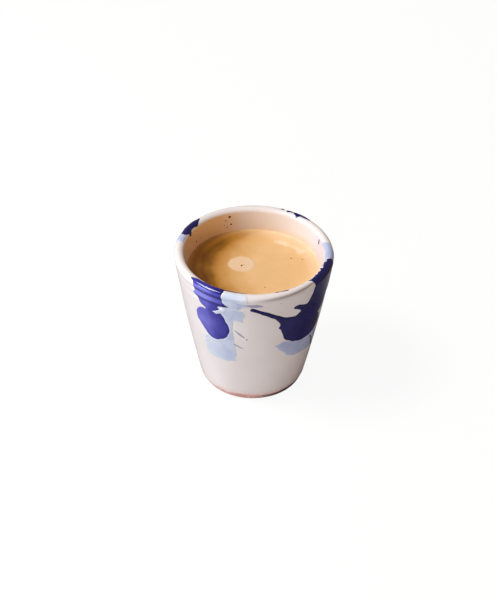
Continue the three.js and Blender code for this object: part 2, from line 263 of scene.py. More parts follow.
FRONT_SLIVER = [
    [[-47, 10, 0.4], [-38.2, 12.7, 0.3]],
]
FRONT_SHARD = [
    [[-32.2, 12.4, 0.05], [-28.2, 12.5, 0.95], [-21.8, 10.2, 1.2]],
]
FRONT_TRACES = [
    [[-14, 20.6, 0.2], [-10.6, 22.4, 0.5], [-6.6, 24.3, 0.25]],
    [[-15.6, 29, 0.5], [-13.2, 29.6, 0.45], [-8.4, 31, 0.25]],
]
TAB_TRACE = [
    [
        [-18.5, 3.8, 0.1], [-12, 4.8, 0.4], [-5, 5.3, 0.6],
        [-0.8, 5.5, 0.8], [2.7, 5.3, 0.9], [6.4, 5.5, 0.3],
    ],
]
IRON_SPECKS = [
    [[-120.7, -8.1, 0.36], [-120.5, -8.2, 0.32]],
    [[-158.6, -4, 0.5], [-158.2, -4.1, 0.45]],
    [[-159.4, -7.6, 0.38], [-159.2, -7.7, 0.34]],
    [[-155, -5.4, 0.2], [-154.6, -5.4, 0.2]],
    [[-153.6, -7.3, 0.2], [-153.4, -7.4, 0.2]],
    [[-156, -8.5, 0.2], [-155.8, -8.6, 0.2]],
    [[-4.7, 25.3, 0.27], [-4.4, 25.5, 0.27]],
]
COBALT_RIGHT = [
    [[46.9, -0.7, 0.15], [50.6, 0.5, 0.8], [62, 1, 1.1]],
    [[58, 1, 1.1], [75, 1, 1.2], [79, 1.4, 0.7]],
    [[55, 0.4, 0.6], [56.4, -1, 0.1]],
    [[59.4, 0.4, 0.7], [61.6, -1.5, 0.1]],
    [[64.6, 0.4, 0.9], [66.6, -2, 0.12]],
    [[69, 0.4, 0.7], [70.8, -1.3, 0.1]],
    [[72, 0.4, 0.8], [75, -1.8, 0.12]],
    [[77, 0.6, 0.6], [79.2, -1, 0.1]],
    [[52.6, 1.6, 2], [52.8, 3.8, 2.2], [51.2, 8.6, 2.5], [47, 13, 2.6]],
    [[60, 3.4, 3.6], [60, 10, 5]],
    [[71, 3.4, 3.6], [70, 10, 5]],
    [[77, 2, 1.8], [74.5, 9, 2.6]],
    [[32.4, 10.2, 0.85], [34.6, 10.4, 1.1], [42, 12.5, 1.6]],
    [[41, 14.6, 1.9], [36, 17, 2.2]],
    [[28.3, 19, 3.8], [34.4, 24.4, 4.9], [40, 25.5, 5.7], [47, 26.4, 6.1], [56, 27, 5.8]],
    [[36, 18.5, 3], [50, 18, 5.8], [60, 16, 6]],
    [[23.6, 19.2, 0.7], [20.7, 19.7, 0.2]],
    [[23.4, 17.2, 0.6], [21.6, 16.8, 0.2]],
    [[-0.2, 7.7, 1], [2.6, 8.3, 0.95], [9, 10.1, 1], [17.6, 13, 1.1], [23, 15.4, 1.7], [30, 18, 3]],
    [[58.2, 34, 0.1], [62.8, 37, 0.35], [67, 42, 0.7]],
    [[17.5, -1, 0.24], [27, -0.4, 0.26]],
]
COBALT_LEFT = [
    [[-131.5, 0.4, 0.5], [-126, 0, 1.5], [-110.5, 0, 1.4]],
    [[-114, -1, 1.4], [-113.6, -2.6, 0.9]],
    [[-124.5, -0.8, 0.8], [-124.8, -1.5, 0.5]],
    [[-122, 3, 4], [-122, 14, 5], [-120.5, 20, 4.6]],
    [[-126, 5.4, 2.2], [-130.4, 7.6, 0.25]],
    [[-118.2, 21, 2.8], [-117.4, 26.6, 1.2]],
    [[-124.4, 19.6, 2.4], [-126.6, 24, 0.8]],
]
COBALT_BACK = [
    [[133, 0.7, 0.5], [138, 0.5, 0.8], [146, 0.5, 1]],
    [[143.4, -0.4, 0.7], [143.4, -1.2, 0.4]],
    [[140.5, 3, 2.6], [140, 9, 3], [139, 15, 2.6]],
    [[137.6, 4.6, 1.4], [134.2, 6.8, 0.2]],
    [[139.8, 14.6, 2.2], [140.6, 19.4, 1.1]],
    [[149.5, 0.4, 0.5], [151, 0.3, 0.55]],
    [[152.8, 0, 0.45], [153, -0.4, 0.3]],
    [[157, 0.4, 0.45], [158.5, 0.4, 0.35]],
    [[110, -3.2, 0.32], [109.5, -4.8, 0.32]],
]
PALE_FRONT = [
    [[-19.6, 2.6, 2.2], [-18.2, 5.8, 2.4]],
    [[-14, 2.4, 2.5], [-12.4, 5.6, 2.6]],
    [[-7.4, 2, 2], [-6.8, 4.4, 1.9]],
    [[-6, 5.4, 0.7], [6.2, 6.4, 0.2]],
    [[-24.6, 11.4, 1.2], [-18, 11.2, 3]],
    [[-18, 11.2, 2.9], [-10.4, 11, 2.3]],
    [[-13, 12.6, 2.4], [-7.6, 15, 0.3]],
    [[-10.6, 12, 1.8], [-7.2, 10.9, 0.3]],
    [[-19, 14, 2.4], [-18.6, 20, 1.5], [-18.6, 28, 2.1], [-20.6, 33, 3.4]],
    [[-44.6, 32.6, 0.2], [-38.5, 33.6, 2.6]],
    [[-40.6, 38.4, 0.2], [-36.6, 35, 2.6]],
    [[-38, 30.4, 2.6], [-31, 31.6, 3.4], [-22, 30.6, 3.2]],
    [[-34, 36, 4.6], [-24, 36.4, 4.3]],
    [[-22, 34.8, 3.9], [-13.4, 35.7, 0.2]],
    [[-22, 37, 3.4], [-14.5, 39.2, 0.2]],
]
PALE_RIGHT = [
    [[18.4, 30.4, 0.15], [26, 31.2, 2.3], [37, 34.3, 4.2], [45, 35.6, 4.8], [62, 37.2, 5]],
    [[26, 32, 2], [33, 36.8, 0.8]],
    [[36, 36.6, 3], [40.4, 40, 0.3]],
]
PALE_RIM = [
    [[66, -1.5, 0.3], [72, -1.1, 0.8], [83, -0.5, 1.6], [97, -0.9, 1.7], [102.5, -2.4, 0.5]],
    [[86, 1.5, 2.6], [87, 9, 2.2]],
    [[88, 7, 1.8], [90.4, 11.8, 0.8]],
    [[90, 2, 1.8], [93.4, 4.6, 0.3]],
]
PALE_LEFT = [
    [[-108, -0.2, 1.3], [-100.5, -0.2, 1.2]],
    [[-104, 1.5, 2.2], [-105, 10, 2.6], [-109, 24, 4], [-119, 29, 4.4]],
    [[-103, 11, 1.6], [-99.6, 15.5, 0.25]],
    [[-106, 21, 3], [-102.4, 25.6, 0.9]],
    [[-114, 28, 4], [-115.4, 33, 2.4], [-116, 36.4, 0.7]],
    [[-121, 29, 3.4], [-127.4, 32.4, 0.3]],
]
PALE_BACK = [
    [[150.5, 10, 2.4], [149, 18, 3.4], [142, 24, 4]],
    [[151.4, 9, 1.4], [153.4, 5.6, 0.25]],
    [[143, 23, 3.2], [139.6, 28.6, 1.7], [139, 32, 0.5]],
    [[148.6, 19.6, 2.8], [154.4, 22.6, 0.3]],
]
COBALTS = [COBALT_FRONT, COBALT_RIGHT, COBALT_LEFT, COBALT_BACK]

# Where a pour is deeper or, below zero, fainter: bearing, drop, radius, depth of colour
COBALT_RIGHT_TONES = [[bearing, 0.2, 3, 0.1] for bearing in (50, 58, 66, 74)] + [
    [2.6, 8.3, 4, 0.2],
    [14, 11.6, 5, 0.2],
]
PALE_FRONT_TONES = [
    [-6.4, 2.4, 2.6, -0.32],
    [-15, 1, 3.2, -0.08],
    [-9, 6.4, 2.2, 0.18],
    [-16, 11.5, 4, 0.06],
    [-17.5, 24, 5, 0.08],
    [-20, 36.5, 4, 0.14],
]


# The turned forms

def wall_radius(height):
    """Radius of the bowed wall outside, without its rings."""
    share = height / LIP_HEIGHT
    return FOOT_RADIUS + (RIM_RADIUS - FOOT_RADIUS) * share + WALL_BOW * 4 * share * (1 - share)


def wall_tilt(height):
    """How far the wall leans out, in radians."""
    share = height / LIP_HEIGHT
    return np.arctan((RIM_RADIUS - FOOT_RADIUS + WALL_BOW * 4 * (1 - 2 * share)) / LIP_HEIGHT)


def inner_radius(height):
    """Radius of the wall inside."""
    return wall_radius(height) - WALL_THICKNESS / np.cos(wall_tilt(height))


def ring_hollow(height):
    """How deep the rings are pressed in, each as a soft round hollow."""
    hollow = 0
    for depth in RING_DEPTHS_BELOW_RIM:
        away = np.clip(np.abs(height - CUP_HEIGHT + depth) / (RING_WIDTH / 2), 0, 1)
        hollow = hollow + RING_HOLLOW * 0.5 * (1 + np.cos(math.pi * away))
    return hollow


def arc(centre, radius, start, end, steps):
    """Points along an arc, as radius and height."""
    angle = np.linspace(start, end, steps + 1)
    return np.stack([centre[0] + radius * np.cos(angle), centre[1] + radius * np.sin(angle)], axis=-1)


def corner_arc(radius_at, floor, radius):
    """The round corner between a level floor and a wall, from the floor up."""
    tilt = wall_tilt(floor + radius)
    touch = floor + radius * (1 - math.sin(tilt))
    centre = (radius_at(touch) - radius * math.cos(tilt), floor + radius)
    return arc(centre, radius, -math.pi / 2, -tilt, CORNER_STEPS)


def glazed_line():
    """The glazed surface as radius and height, from the table over the lip and in to the axis."""
    lip_tilt = wall_tilt(LIP_HEIGHT)
    lip_centre = (RIM_RADIUS - LIP_RADIUS, LIP_HEIGHT)
    lip = arc(lip_centre, LIP_RADIUS, -lip_tilt, math.pi - lip_tilt, LIP_STEPS)
    rings_start = CUP_HEIGHT - max(RING_DEPTHS_BELOW_RIM) - RING_WIDTH
    plain = np.arange(0, rings_start, WALL_ROW)
    ringed = np.arange(rings_start, lip[0, 1] - RING_ROW / 2, RING_ROW)
    outer = np.concatenate([plain, ringed])
    outside = np.stack([wall_radius(outer) - ring_hollow(outer), outer], axis=-1)
    corner = corner_arc(inner_radius, FLOOR_THICKNESS, INNER_CORNER_RADIUS)[::-1]
    inner = np.arange(lip[-1, 1] - WALL_ROW, corner[0, 1], -WALL_ROW)
    inside = np.stack([inner_radius(inner), inner], axis=-1)
    floor = np.linspace(corner[-1, 0], 0, CORNER_STEPS)[1:]
    level = np.stack([floor, np.full_like(floor, FLOOR_THICKNESS)], axis=-1)
    return np.concatenate([outside, lip, inside, corner, level])


LINE = glazed_line()
LINE_LENGTHS = np.concatenate([[0], np.cumsum(np.linalg.norm(np.diff(LINE, axis=0), axis=1))])
LINE_DROPS = LINE_LENGTHS[LINE[:, 1].argmax()] - LINE_LENGTHS
ALONG = np.gradient(LINE, axis=0)
ALONG /= np.linalg.norm(ALONG, axis=1)[:, None]
OUTWARD = np.stack([ALONG[:, 1], -ALONG[:, 0]], axis=-1)


def at_drop(values, drop):
    """A value of the glazed line at each drop."""
    return np.interp(-np.asarray(drop, float), -LINE_DROPS, values)


def outer_drop(height):
    """The drop of a height on the outside."""
    outside = LINE_DROPS >= 0
    return np.interp(height, LINE[outside, 1], LINE_DROPS[outside])


def wander(points, size):
    """Smooth random values from -1 to 1 at points in millimetres, that change over this size."""
    flat = np.asarray(points, float).reshape(-1, 3) / size
    return np.array([noise.noise(Vector(p)) for p in flat]).reshape(np.shape(points)[:-1])


def ragged(points, waves):
    """Random heights at points, added up from waves that have each a height and a size."""
    return sum(height * wander(points, size) for height, size in waves)


def hump(away, length, power=2):
    """1 in the middle and nearly 0 past this length; a higher power is flatter on top."""
    return np.exp(-((away / length) ** power))


def fading(away, width):
    """1 at the start, falling evenly to 0 at this width."""
    return np.clip(1 - away / width, 0, 1)


def round_edge(inward, width):
    """Share of its full thickness that a layer has this far in from its round edge."""
    return np.sqrt(1 - fading(inward, width) ** 2)


def turn_between(bearing, other):
    """The shorter turn from one bearing to another, in degrees."""
    return (bearing - other + 180) % 360 - 180


def round_place(bearing, radius, height):
    """Places round the axis, in millimetres."""
    angle = np.radians(bearing)
    return np.stack(np.broadcast_arrays(radius * np.sin(angle), -radius * np.cos(angle), height), axis=-1)


def lip_crease(bearing, drop):
    """1 along the crease below the lip, which climbs towards the right, and 0 away from it."""
    turn = bearing - LIP_CREASE_BEARING
    off = drop - LIP_CREASE_DROP + LIP_CREASE_RISE * turn
    return hump(off, LIP_CREASE_WIDTH) * hump(turn, LIP_CREASE_LENGTH, power=4)


def hand_thrown(bearing, drop):
    """How far the thrown wall stands off the true turned form."""
    bearing, drop = np.broadcast_arrays(bearing, drop)
    radius = at_drop(LINE[:, 0], drop)
    height = at_drop(LINE[:, 1], drop)
    # The surface faces away from the axis outside and towards it inside, so the oval turns over at the lip
    side = np.where(drop > 0, 1.0, -1.0) * np.clip(np.abs(drop) / OUT_OF_ROUND_LIP, 0, 1)
    oval = OUT_OF_ROUND * height / CUP_HEIGHT * np.cos(2 * np.radians(bearing - OUT_OF_ROUND_BEARING))
    uneven = WALL_UNEVENNESS * wander(round_place(bearing, radius, height), WALL_UNEVENNESS_SIZE)
    on_wall = np.interp(radius, UNEVEN_RADII, (0, 1))
    spiral = np.sin(2 * math.pi * (drop / THROWING_LINE_PITCH + bearing / 360))
    lines = THROWING_LINE_HEIGHT * np.interp(drop, THROWING_LINE_DROPS, (0, 1, 1, 0)) * spiral
    sharp = hump(bearing - RINGS_BEARING, RINGS_LENGTH, power=4)
    filled = RINGS_SMOOTHED * (1 - sharp) * ring_hollow(height) * (drop > 0)
    crease = LIP_CREASE_DEPTH * lip_crease(bearing, drop)
    return on_wall * (oval * side + uneven) + lines + filled - crease


def on_glaze(bearing, drop, lift):
    """Places on the glazed surface, lifted off it, in millimetres."""
    lift = lift + hand_thrown(bearing, drop)
    radius = at_drop(LINE[:, 0], drop) + lift * at_drop(OUTWARD[:, 0], drop)
    height = at_drop(LINE[:, 1], drop) + lift * at_drop(OUTWARD[:, 1], drop)
    return round_place(bearing, radius, height)


# Meshes

def placed(name, data):
    """An object of this data, put in the scene."""
    made = bpy.data.objects.new(name, data)
    bpy.context.scene.collection.objects.link(made)
    return made


def add_piece(name, points, faces, finish, nodes=(), marks=None):
    """A smooth mesh piece of the cup, fixed to its body. Marks are named values at its points."""
    mesh = bpy.data.meshes.new(name)
    mesh.from_pydata((np.asarray(points) * MM).tolist(), [], faces)
    mesh.validate()
    mesh.shade_smooth()
    for mark, values in (marks or {}).items():
        attribute = mesh.attributes.new(mark, "FLOAT", "POINT")
        attribute.data.foreach_set("value", np.asarray(values, np.float32))
    mesh.materials.append(finish)
    piece = placed(name, mesh)
    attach(piece, "root")
    if nodes:
        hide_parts(*nodes)
    return piece


def ring_faces(rows, columns):
    """Faces of a grid that goes round, between each ring of points and the next."""
    faces = []
    for row in range(rows - 1):
        here = row * columns
        above = here + columns
        for column in range(columns):
            after = (column + 1) % columns
            faces.append((here + column, here + after, above + after, above + column))
    return faces


def turned_piece(name, grid, first_height, last_height, finish, nodes, marks):
    """A closed turned piece from a grid of rings, with a pole on the axis at each end."""
    rows, columns = grid.shape[:2]
    poles = [[0, 0, first_height], [0, 0, last_height]]
    points = np.concatenate([grid.reshape(-1, 3), poles])
    faces = ring_faces(rows, columns)
    first_pole = rows * columns
    last_ring = first_pole - columns
    for column in range(columns):
        after = (column + 1) % columns
        faces.append((first_pole, after, column))
        faces.append((last_ring + column, last_ring + after, first_pole + 1))
    padded = {}
    for mark, values in marks.items():
        padded[mark] = np.concatenate([values.ravel(), values[0, :1], values[-1, :1]])
    return add_piece(name, points, faces, finish, nodes, padded)


# Clay and coat

def clay_body(finish):
    """The thrown clay: a bare foot ring with a trimmed hollow, and the surface that the coat covers."""
    def bare_radius(height):
        return wall_radius(height) - GLAZE_THICKNESS / np.cos(wall_tilt(height))

    corner = corner_arc(bare_radius, 0, FOOT_CORNER_RADIUS)
    ring_outside = corner[0, 0]
    ring_inside = ring_outside - FOOT_RING_WIDTH
    groove_step = TRIMMING_GROOVE_PITCH / GROOVE_STEPS
    hollow = np.arange(TRIMMING_GROOVE_START, ring_inside - FOOT_HOLLOW_BEVEL, groove_step)
    grooves = TRIMMING_GROOVE_DEPTH * np.sin(2 * math.pi * hollow / TRIMMING_GROOVE_PITCH)
    bevel = np.linspace(0, 1, BEVEL_STEPS)
    bevel_height = FOOT_HOLLOW_HEIGHT * 0.5 * (1 + np.cos(math.pi * bevel))
    ring = np.linspace(ring_inside, ring_outside, FOOT_RING_STEPS)[1:-1]
    under = np.concatenate([
        np.stack([hollow, FOOT_HOLLOW_HEIGHT + grooves], axis=-1),
        np.stack([ring_inside - FOOT_HOLLOW_BEVEL * (1 - bevel), bevel_height], axis=-1),
        np.stack([ring, 0 * ring], axis=-1),
        corner,
    ])
    below = round_place(BEARINGS, under[:, :1], under[:, 1:])
    lowest = outer_drop(corner[-1, 1] + FOOT_CORNER_GAP)
    drops = LINE_DROPS[(LINE_DROPS < lowest) & (LINE[:, 0] > POLE_GAP)]
    above = on_glaze(BEARINGS, drops[:, None], -GLAZE_THICKNESS)
    grid = np.concatenate([below, above])
    # Painted shade low on the foot, on the side away from the light
    foot_shade = hump(turn_between(BEARINGS, FOOT_SHADE_BEARING), FOOT_SHADE_LENGTH, power=4)
    foot_shade = foot_shade * np.interp(grid[..., 2], FOOT_SHADE_HEIGHTS, (1, 0))
    return turned_piece(
        "clay_body_thrown", grid, FOOT_HOLLOW_HEIGHT, FLOOR_THICKNESS - GLAZE_THICKNESS,
        finish, ["clay_body"], {"foot_shade": foot_shade},
    )


def coat_edge_height(bearing):
    """Height of the wavy line where the coat ends above the foot."""
    ripple = wander(round_place(bearing, FOOT_RADIUS, 0 * bearing), COAT_EDGE_RIPPLE_SIZE)
    # The drips take their wander from another height, so that they don't follow the ripple
    apart = 0 * bearing + COAT_EDGE_DRIP_APART
    drip = wander(round_place(bearing, FOOT_RADIUS, apart), COAT_EDGE_DRIP_SIZE)
    height = COAT_EDGE_HEIGHT + COAT_EDGE_RIPPLE * ripple + COAT_EDGE_DRIP * drip
    for rise_bearing, length, rise in COAT_EDGE_RISES:
        height = height + rise * hump(bearing - rise_bearing, length)
    return height


def coat_marks(drop, edge):
    """How thin, nearly bare, wetted by coffee or veiled the coat is, with its painted shade and bounce
    light, from 0 to 1.
    """
    height = at_drop(LINE[:, 1], drop)
    thin = LIP_THIN_DEPTH * hump(drop, LIP_THIN_WIDTH)
    # Painted shade in the crease below the lip
    crease_shade = LIP_CREASE_SHADE * lip_crease(BEARINGS, drop)
    bare = fading(edge - drop, BARE_FADE) ** 2 * (height < BARE_HEIGHT)
    # The blush is partly thin glaze over the clay and partly painted warm shade
    blush = BLUSH_DEPTH * hump(BEARINGS - BLUSH_BEARING, BLUSH_LENGTH)
    bare = np.maximum(bare, blush * fading(height, BLUSH_HEIGHT) * (drop > 0))
    # The film inside at the left is partly coffee and partly painted bounce light from the crema
    tail = FILM_BOUNCE_TAIL_DEPTH * hump(turn_between(BEARINGS, FILM_BOUNCE_TAIL_BEARING), FILM_BOUNCE_LENGTH)
    film_and_bounce = np.maximum(hump(BEARINGS - FILM_BOUNCE_BEARING, FILM_BOUNCE_LENGTH, power=4), tail)
    film_and_bounce = film_and_bounce * np.clip((-drop - FILM_BOUNCE_START) / FILM_BOUNCE_FADE, 0, 1)
    tide = fading(height - CREMA_TOP - MENISCUS_HEIGHT, TIDE_HEIGHT) * (drop < 0)
    film_and_bounce = np.maximum(film_and_bounce, TIDE_DEPTH * tide)
    veil = VEIL_DEPTH * hump(BEARINGS - VEIL_BEARING, VEIL_LENGTH)
    veil = veil * np.interp(-drop, VEIL_REACH, (0, 1)) * (height > CREMA_TOP - VEIL_BELOW_CREMA)
    return {"thin": thin, "crease_shade": crease_shade, "bare": bare, "film_and_bounce": film_and_bounce, "veil": veil}


def white_coat(finish):
    """The coat ends above the foot in a wavy rounded edge, and lies close on the clay."""
    edge = outer_drop(coat_edge_height(BEARINGS))
    edge_rows = np.array(COAT_EDGE_ROWS)[:, None]
    start = outer_drop(COAT_EDGE_TOP)
    level = np.clip((edge_rows - COAT_EDGE_SETTLED) / (edge_rows[-1] - COAT_EDGE_SETTLED), 0, 1)
    low = (edge - edge_rows) * (1 - level) + (start + COAT_ROW_GAP) * level
    low_lift = -GLAZE_THICKNESS * (1 - round_edge(edge_rows, GLAZE_EDGE_ROUND)) + 0 * low
    rest = LINE_DROPS[(LINE_DROPS < start) & (LINE[:, 0] > POLE_GAP)]
    high = rest[:, None] + 0 * BEARINGS
    face_drop = np.concatenate([low, high])
    face_lift = np.concatenate([low_lift, 0 * high])
    back_drop = face_drop[::-COAT_BACK_STEP]
    back_lift = 0 * back_drop - GLAZE_THICKNESS + COAT_CLEARANCE
    drop = np.concatenate([back_drop, face_drop])
    lift = np.concatenate([back_lift, face_lift])
    marks = {}
    for mark, values in coat_marks(face_drop, edge).items():
        marks[mark] = np.concatenate([0 * back_drop, values])
    return turned_piece(
        "white_glaze_coat", on_glaze(BEARINGS, drop, lift), FLOOR_THICKNESS - GLAZE_THICKNESS,
        FLOOR_THICKNESS, finish, ["white_glaze"], marks,
    )


# Glaze pours

def inside_run(run, bearing, drop, girth):
    """How far inside one run of glaze a place lies, in millimetres along the surface."""
    depth = np.full(np.shape(bearing), -np.inf)
    for (from_bearing, from_drop, from_radius), (to_bearing, to_drop, to_radius) in zip(run, run[1:]):
        across = math.radians(to_bearing - from_bearing) * girth
        down = to_drop - from_drop
        x = np.radians(turn_between(bearing, from_bearing)) * girth
        y = drop - from_drop
        along = np.clip((x * across + y * down) / (across**2 + down**2), 0, 1)
        radius = from_radius + (to_radius - from_radius) * along
        depth = np.maximum(depth, radius - np.hypot(x - along * across, y - along * down))
    return depth


def inside_pour(runs, bearing, drop):
    """How far inside a pour a place lies. Runs that meet draw together, as wet glaze does."""
    girth = at_drop(LINE[:, 0], drop)
    depth = inside_run(runs[0], bearing, drop, girth)
    for run in runs[1:]:
        other = inside_run(run, bearing, drop, girth)
        near = np.clip(POUR_BLEND - np.abs(depth - other), 0, None) / POUR_BLEND
        depth = np.maximum(depth, other) + near**2 * POUR_BLEND / 4
    return depth


def pour_depth(runs, others, bearing, drop):
    """How far inside a pour a place lies, with a wandering edge, clear of the pours laid before it."""
    depth = inside_pour(runs, bearing, drop)
    for other in others:
        depth = np.minimum(depth, -inside_pour(other, bearing, drop) - POUR_SPACING)
    places = round_place(bearing, at_drop(LINE[:, 0], drop), at_drop(LINE[:, 1], drop))
    near = np.clip(depth / POUR_EDGE_WANDER_REACH + 1, 0, 1)
    return depth + ragged(places, POUR_EDGE_WANDER) * near


def pour_grid(runs):
    """A grid of bearings and drops that covers all of a pour's runs."""
    drops = np.array([drop for run in runs for drop in run])
    reach = drops[:, 2] + POUR_MARGIN
    turns = np.radians(drops[:, 0])
    turn_reach = reach / FOOT_RADIUS
    columns = np.arange(np.min(turns - turn_reach), np.max(turns + turn_reach), POUR_GRID / RIM_RADIUS)
    rows = np.arange(np.max(drops[:, 1] + reach), np.min(drops[:, 1] - reach), -POUR_GRID)
    return np.meshgrid(np.degrees(columns), rows, indexing="ij")


def cut_out(bearing, drop, depth):
    """The part of a grid that lies inside a pour, cut where its depth is 0.

    Gives its places with bearing, drop and depth, the outline of the wet part of each cell, and the edges
    where wet meets dry.
    """
    wet = depth > 0
    places = []
    made = {}

    def add(key, place):
        if key not in made:
            made[key] = len(places)
            places.append(place)
        return made[key]

    def vertex(here):
        return add(here, (bearing[here], drop[here], depth[here]))

    def crossing(inside, outside):
        # The cut keeps off the corners of the cell, so that it leaves no sliver
        share = depth[inside] / (depth[inside] - depth[outside])
        share = min(max(share, POUR_CUT_SHARES[0]), POUR_CUT_SHARES[1])
        cut_bearing = bearing[inside] + (bearing[outside] - bearing[inside]) * share
        cut_drop = drop[inside] + (drop[outside] - drop[inside]) * share
        return add((inside, outside), (cut_bearing, cut_drop, 0.0))

    outlines = []
    edges = []
    for i, j in np.argwhere(wet[:-1, :-1] | wet[1:, :-1] | wet[1:, 1:] | wet[:-1, 1:]).tolist():
        cell = [(i, j), (i + 1, j), (i + 1, j + 1), (i, j + 1)]
        outline = []
        leaves = []
        for here, after in zip(cell, cell[1:] + cell[:1]):
            if wet[here]:
                outline.append(vertex(here))
            if wet[here] and not wet[after]:
                leaves.append(len(outline))
                outline.append(crossing(here, after))
            if wet[after] and not wet[here]:
                outline.append(crossing(after, here))
        outlines.append(outline)
        for leave in leaves:
            edges.append((outline[leave], outline[(leave + 1) % len(outline)]))
    return np.array(places).T, outlines, edges


def glaze_pour(name, nodes, runs, others, finish, slot, thickness, body, tones=()):
    """A thin layer of glaze with a round edge over the part of the surface where its runs lie.

    Body is how deep its colour is on the ridges, how much deeper in the grooves, where it pooled and where
    painted shade darkens the undersides of the rings, and how much deeper towards the cup's right. Tones
    are places where it differs.
    """
    grid_bearing, grid_drop = pour_grid(runs)
    grid_depth = pour_depth(runs, others, grid_bearing, grid_drop)
    (bearing, drop, inward), outlines, edges = cut_out(grid_bearing, grid_drop, grid_depth)
    top = on_glaze(bearing, drop, thickness * round_edge(inward, POUR_EDGE_ROUND) + POUR_LIFT)
    seat = on_glaze(bearing, drop, -POUR_SUNK)
    count = len(top)
    faces = [tuple(outline) for outline in outlines]
    faces += [tuple(count + k for k in reversed(outline)) for outline in outlines]
    faces += [(after, before, count + before, count + after) for before, after in edges]
    on_ridge, in_groove, at_right = body
    towards_right = np.clip((bearing - RIGHTWARD_FROM) / RIGHTWARD_WIDTH, 0, 1)
    # Deeper in the grooves, partly pooled glaze and partly painted shade on the rings' undersides
    weight = on_ridge + in_groove * np.interp(drop, POOLED_AND_SHADED_DROPS, POOLED_AND_SHADED) + at_right * towards_right
    for tone_bearing, tone_drop, reach, deeper in tones:
        across = np.radians(bearing - tone_bearing) * at_drop(LINE[:, 0], drop)
        weight = weight + deeper * hump(np.hypot(across, drop - tone_drop), reach)
    marks = {
        "inward": np.concatenate([inward, inward]),
        "body": np.concatenate([weight, weight]),
    }
    return add_piece(name, np.concatenate([top, seat]), faces, finish, nodes, marks)


# Espresso

def liquid_edge(bearing, height):
    """Radius at which the liquid meets the glaze."""
    inside = LINE_DROPS < -LIP_RADIUS
    drop = np.interp(height, LINE[inside, 1][::-1], LINE_DROPS[inside][::-1])
    lift = hand_thrown(bearing, drop)
    return inner_radius(height) - lift * np.cos(wall_tilt(height)) + LIQUID_OVERLAP


def coffee(finish):
    """The coffee, from the floor of the cup up to the crema."""
    inside = (LINE_DROPS < 0) & (LINE[:, 1] < COFFEE_TOP - COFFEE_BRIM) & (LINE[:, 0] > POLE_GAP)
    drops = LINE_DROPS[inside][::-1]
    wetted = on_glaze(BEARINGS, drops[:, None], COFFEE_CLEARANCE)
    brim = round_place(BEARINGS, liquid_edge(BEARINGS, COFFEE_TOP), COFFEE_TOP)
    grid = np.concatenate([wetted, brim[None]])
    floor = FLOOR_THICKNESS + COFFEE_CLEARANCE
    return turned_piece("coffee_fill", grid, floor, COFFEE_TOP, finish, ["coffee"], {})


def foam_spot(places):
    """1 in the pale spot of foam and 0 outside its ragged edge."""
    away = places[..., :2] - np.array(FOAM_SPOT)
    reach = np.hypot(away[..., 0], away[..., 1] * FOAM_SPOT_OVAL) + ragged(places, FOAM_SPOT_RAGGED)
    return np.clip((FOAM_SPOT_RADIUS - reach) / FOAM_SPOT_FADE + 0.5, 0, 1)


def foam_streak(places):
    """How pale the streak of foam is: most along its middle, and 0 beyond its torn edge."""
    away = np.full(places.shape[:-1], np.inf)
    for start, end in zip(FOAM_STREAK, FOAM_STREAK[1:]):
        along = np.subtract(end, start)
        offset = places[..., :2] - np.array(start)
        share = np.clip(offset @ along / (along @ along), 0, 1)
        away = np.minimum(away, np.linalg.norm(offset - share[..., None] * along, axis=-1))
    inside = (FOAM_STREAK_WIDTH - away + ragged(places, FOAM_STREAK_TORN)) / FOAM_STREAK_FADE
    return FOAM_STREAK_DEPTH * np.clip(inside, 0, 1)


def crema_shade(places, radius, edge):
    """How dark the crema's painted shadow of the wall is: most a little off the wall on its dark side, and
    less along the back.
    """
    turn = math.radians(SHADE_BEARING)
    towards = places[..., 0] * math.sin(turn) - places[..., 1] * math.cos(turn)
    to_wall = np.sqrt(np.maximum(towards**2 + edge**2 - radius**2, 0)) - towards
    dark = np.interp(to_wall + ragged(places, SHADE_RAGGED), SHADE_REACH, SHADE_DEPTHS)
    ending = np.clip((places[..., :2] - np.array(SHADE_END_FROM)) / np.array(SHADE_END_REACH), 0, 1)
    dark = dark * (1 - SHADE_END_FADE * ending[..., 0] * ending[..., 1])
    from_patch = np.linalg.norm(places[..., :2] - np.array(SHADE_PATCH), axis=-1)
    return dark + SHADE_PATCH_DEPTH * hump(from_patch, SHADE_PATCH_SIZE)


